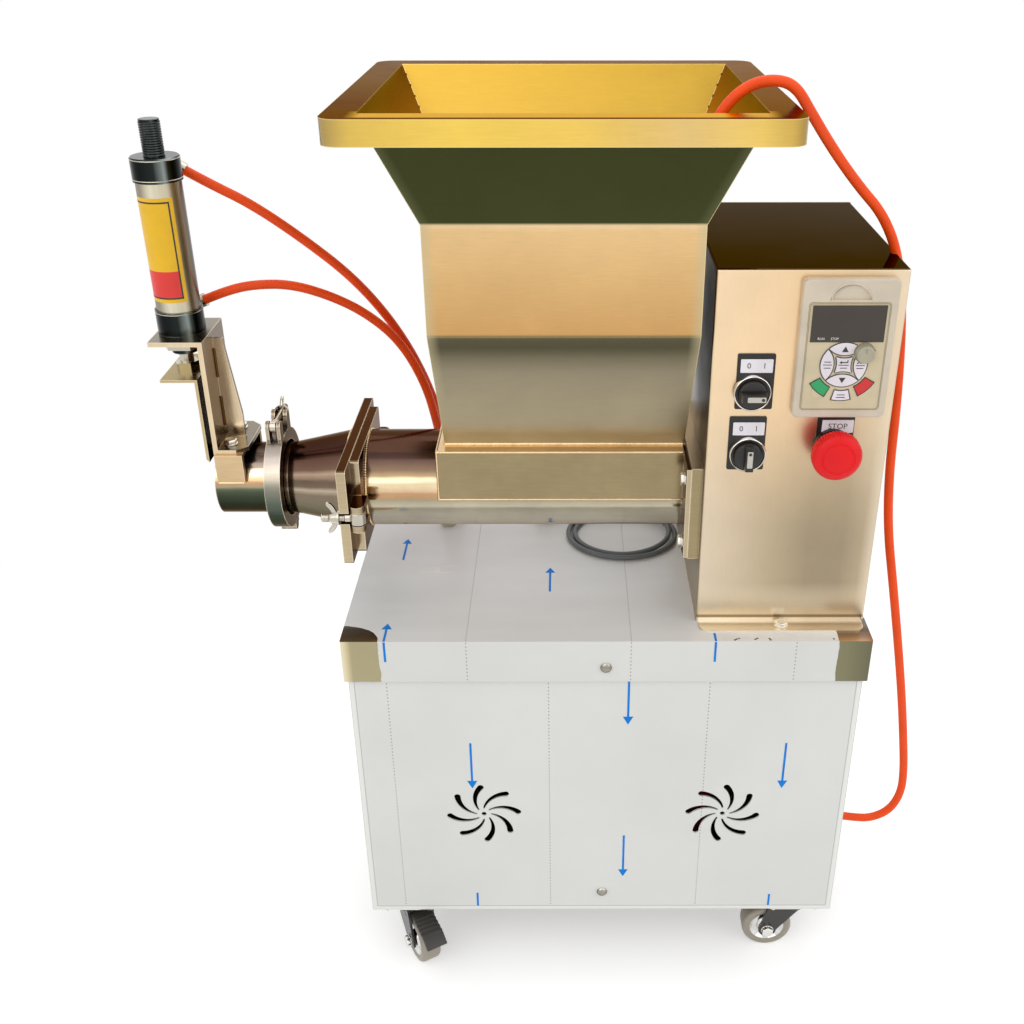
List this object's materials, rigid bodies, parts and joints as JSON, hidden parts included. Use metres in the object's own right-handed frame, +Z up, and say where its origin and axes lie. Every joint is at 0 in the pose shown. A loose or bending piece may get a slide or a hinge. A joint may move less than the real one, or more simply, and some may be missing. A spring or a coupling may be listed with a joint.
{
  "type": "dough divider",
  "caption": "Castor-mounted dough divider: a hopper over an auger barrel feeds a clamped nozzle where an air-driven blade cuts portions, with a control box beside it.",
  "frame": {"origin": "on the floor under the middle of the machine's box, without its hoses", "axes": "+Z up, front towards -Y, nozzle towards -X, control box towards +X"},
  "size_m": [0.6861, 0.3173, 0.8484],
  "materials": {
    "film_covered_steel": "stainless sheet under pale protective film",
    "stainless_sheet": "satin stainless with a warm reflection",
    "hopper_steel": "satin stainless with a golden reflection",
    "bright_steel": "bright turned stainless",
    "zinc_steel": "zinc plated",
    "black_steel": "black painted pressed steel",
    "dark_steel": "oiled dark steel",
    "black_aluminium": "black anodised",
    "grey_tyre": "grey rubber tread on a pale hub",
    "grey_plastic": "warm grey moulding",
    "black_plastic": "black moulding",
    "red_plastic": "glossy red moulding",
    "red_paint": "red enamel",
    "orange_hose": "translucent orange polyurethane",
    "grey_cable": "grey cable jacket"
  },
  "bodies": {
    "frame": {"auger_bearings": "bright_steel", "barrel": "stainless_sheet", "base_floor": "stainless_sheet", "bearing_housing": "stainless_sheet", "box_rear_cover": "stainless_sheet", "cabinet_body": "stainless_sheet", "castor_plates": "zinc_steel", "clamp_front": "bright_steel", "clamp_rear": "bright_steel", "control_box": "stainless_sheet", "cutter_bracket": "stainless_sheet", "cylinder_caps": "black_aluminium", "cylinder_nut": "zinc_steel", "cylinder_tube": "bright_steel", "deck_lid": "film_covered_steel", "drive_chain": "dark_steel", "fasteners": "zinc_steel", "fittings": "black_plastic", "front_panel": "film_covered_steel", "gear_motor": "red_paint", "hopper": "hopper_steel", "inverter": "black_plastic", "keypad_housing": "grey_plastic", "keypad_overlay": "grey_plastic", "legend_plates": "black_plastic", "lower_hose": "orange_hose", "nozzle_tube": "stainless_sheet", "outlet_cone": "stainless_sheet", "sensor_cable": "grey_cable", "solenoid_valve": "black_plastic", "supply_hose": "orange_hose", "switch_bodies": "black_plastic", "trough": "stainless_sheet", "upper_hose": "orange_hose"},
    "auger_shaft": {"auger": "bright_steel", "auger_sprocket": "dark_steel"},
    "motor_drive": {"motor_sprocket": "dark_steel"},
    "cutter": {"piston_rod": "bright_steel", "cutter_blade": "stainless_sheet", "rod_nuts": "bright_steel"},
    "pedal": {"brake_pedal": "black_plastic"},
    "selector_upper": {"selector_knob_upper": "black_plastic"},
    "selector_lower": {"selector_knob_lower": "black_plastic"},
    "estop": {"estop_head": "red_plastic"},
    "speed_knob": {"pot_knob": "grey_plastic"},
    "bolt_front": {"swing_bolt_front": "bright_steel"},
    "bolt_rear": {"swing_bolt_rear": "bright_steel"},
    "nut_front": {"wing_nut_front": "bright_steel"},
    "nut_rear": {"wing_nut_rear": "bright_steel"},
    "bolt_clamp": {"clamp_bolt": "bright_steel"},
    "nut_clamp": {"clamp_nut": "bright_steel"},
    "fork_front_left": {"castor_fork_front_left": "black_steel"},
    "wheel_front_left": {"castor_wheel_front_left": "grey_tyre"},
    "fork_front_right": {"castor_fork_front_right": "black_steel"},
    "wheel_front_right": {"castor_wheel_front_right": "grey_tyre"},
    "fork_rear_left": {"castor_fork_rear_left": "black_steel"},
    "wheel_rear_left": {"castor_wheel_rear_left": "grey_tyre"},
    "fork_rear_right": {"castor_fork_rear_right": "black_steel"},
    "wheel_rear_right": {"castor_wheel_rear_right": "grey_tyre"}
  },
  "joints": [
    {"name": "auger_spin", "type": "hinge", "parent": "frame", "child": "auger_shaft", "pos_m": [0.18955, -0.0073, 0.4944], "axis": [1, 0, 0], "continuous": true},
    {"name": "motor_spin", "type": "hinge", "parent": "frame", "child": "motor_drive", "pos_m": [0.18955, -0.0073, 0.23], "axis": [1, 0, 0], "continuous": true},
    {"name": "cutter_stroke", "type": "slide", "parent": "frame", "child": "cutter", "axis": [0, 0, -1], "range_m": [0, 0.07]},
    {"name": "castor_swivel_front_left", "type": "hinge", "parent": "frame", "child": "fork_front_left", "pos_m": [-0.126, -0.088, 0.0596], "axis": [0, 0, 1], "continuous": true},
    {"name": "castor_roll_front_left", "type": "hinge", "parent": "fork_front_left", "child": "wheel_front_left", "pos_m": [-0.115, -0.10705, 0.025], "axis": [-0.866, -0.5, 0], "continuous": true},
    {"name": "castor_swivel_front_right", "type": "hinge", "parent": "frame", "child": "fork_front_right", "pos_m": [0.258, -0.088, 0.0596], "axis": [0, 0, 1], "continuous": true},
    {"name": "castor_roll_front_right", "type": "hinge", "parent": "fork_front_right", "child": "wheel_front_right", "pos_m": [0.236, -0.088, 0.025], "axis": [0, 1, 0], "continuous": true},
    {"name": "castor_swivel_rear_left", "type": "hinge", "parent": "frame", "child": "fork_rear_left", "pos_m": [-0.126, 0.125, 0.0596], "axis": [0, 0, 1], "continuous": true},
    {"name": "castor_roll_rear_left", "type": "hinge", "parent": "fork_rear_left", "child": "wheel_rear_left", "pos_m": [-0.14505, 0.136, 0.025], "axis": [0.5, 0.866, 0], "continuous": true},
    {"name": "castor_swivel_rear_right", "type": "hinge", "parent": "frame", "child": "fork_rear_right", "pos_m": [0.258, 0.125, 0.0596], "axis": [0, 0, 1], "continuous": true},
    {"name": "castor_roll_rear_right", "type": "hinge", "parent": "fork_rear_right", "child": "wheel_rear_right", "pos_m": [0.27602, 0.13762, 0.025], "axis": [0.5736, -0.8192, 0], "continuous": true},
    {"name": "brake_press", "type": "hinge", "parent": "fork_front_left", "child": "pedal", "pos_m": [-0.1185, -0.10099, 0.0545], "axis": [0.866, 0.5, 0], "range_deg": [0, 12]},
    {"name": "selector_upper_turn", "type": "hinge", "parent": "frame", "child": "selector_upper", "pos_m": [0.179, -0.095, 0.61], "axis": [0, -1, 0], "range_deg": [0, 90]},
    {"name": "selector_lower_turn", "type": "hinge", "parent": "frame", "child": "selector_lower", "pos_m": [0.179, -0.095, 0.5565], "axis": [0, -1, 0], "range_deg": [-90, 0]},
    {"name": "estop_press", "type": "slide", "parent": "frame", "child": "estop", "axis": [0, 1, 0], "range_m": [0, 0.005], "stiffness_N_per_m": 1200},
    {"name": "speed_knob_turn", "type": "hinge", "parent": "frame", "child": "speed_knob", "pos_m": [0.2627, -0.0973, 0.6452], "axis": [0, -1, 0], "range_deg": [-150, 150]},
    {"name": "swing_bolt_front_swing", "type": "hinge", "parent": "frame", "child": "bolt_front", "pos_m": [-0.144, -0.0853, 0.4944], "axis": [0, 0, 1], "range_deg": [0, 100]},
    {"name": "wing_nut_front_turn", "type": "hinge", "parent": "bolt_front", "child": "nut_front", "pos_m": [-0.144, -0.0853, 0.4944], "axis": [-1, 0, 0], "continuous": true},
    {"name": "swing_bolt_rear_swing", "type": "hinge", "parent": "frame", "child": "bolt_rear", "pos_m": [-0.144, 0.0707, 0.4944], "axis": [0, 0, -1], "range_deg": [0, 100]},
    {"name": "wing_nut_rear_turn", "type": "hinge", "parent": "bolt_rear", "child": "nut_rear", "pos_m": [-0.144, 0.0707, 0.4944], "axis": [-1, 0, 0], "continuous": true},
    {"name": "clamp_bolt_swing", "type": "hinge", "parent": "frame", "child": "bolt_clamp", "pos_m": [-0.223, -0.0203, 0.5494], "axis": [1, 0, 0], "range_deg": [0, 120]},
    {"name": "clamp_nut_turn", "type": "hinge", "parent": "bolt_clamp", "child": "nut_clamp", "pos_m": [-0.223, -0.0203, 0.5494], "axis": [0, 1, 0], "continuous": true}
  ],
  "couplings": [
    {"joint": "motor_spin", "follows": "auger_spin", "ratio": 1.5}
  ]
}
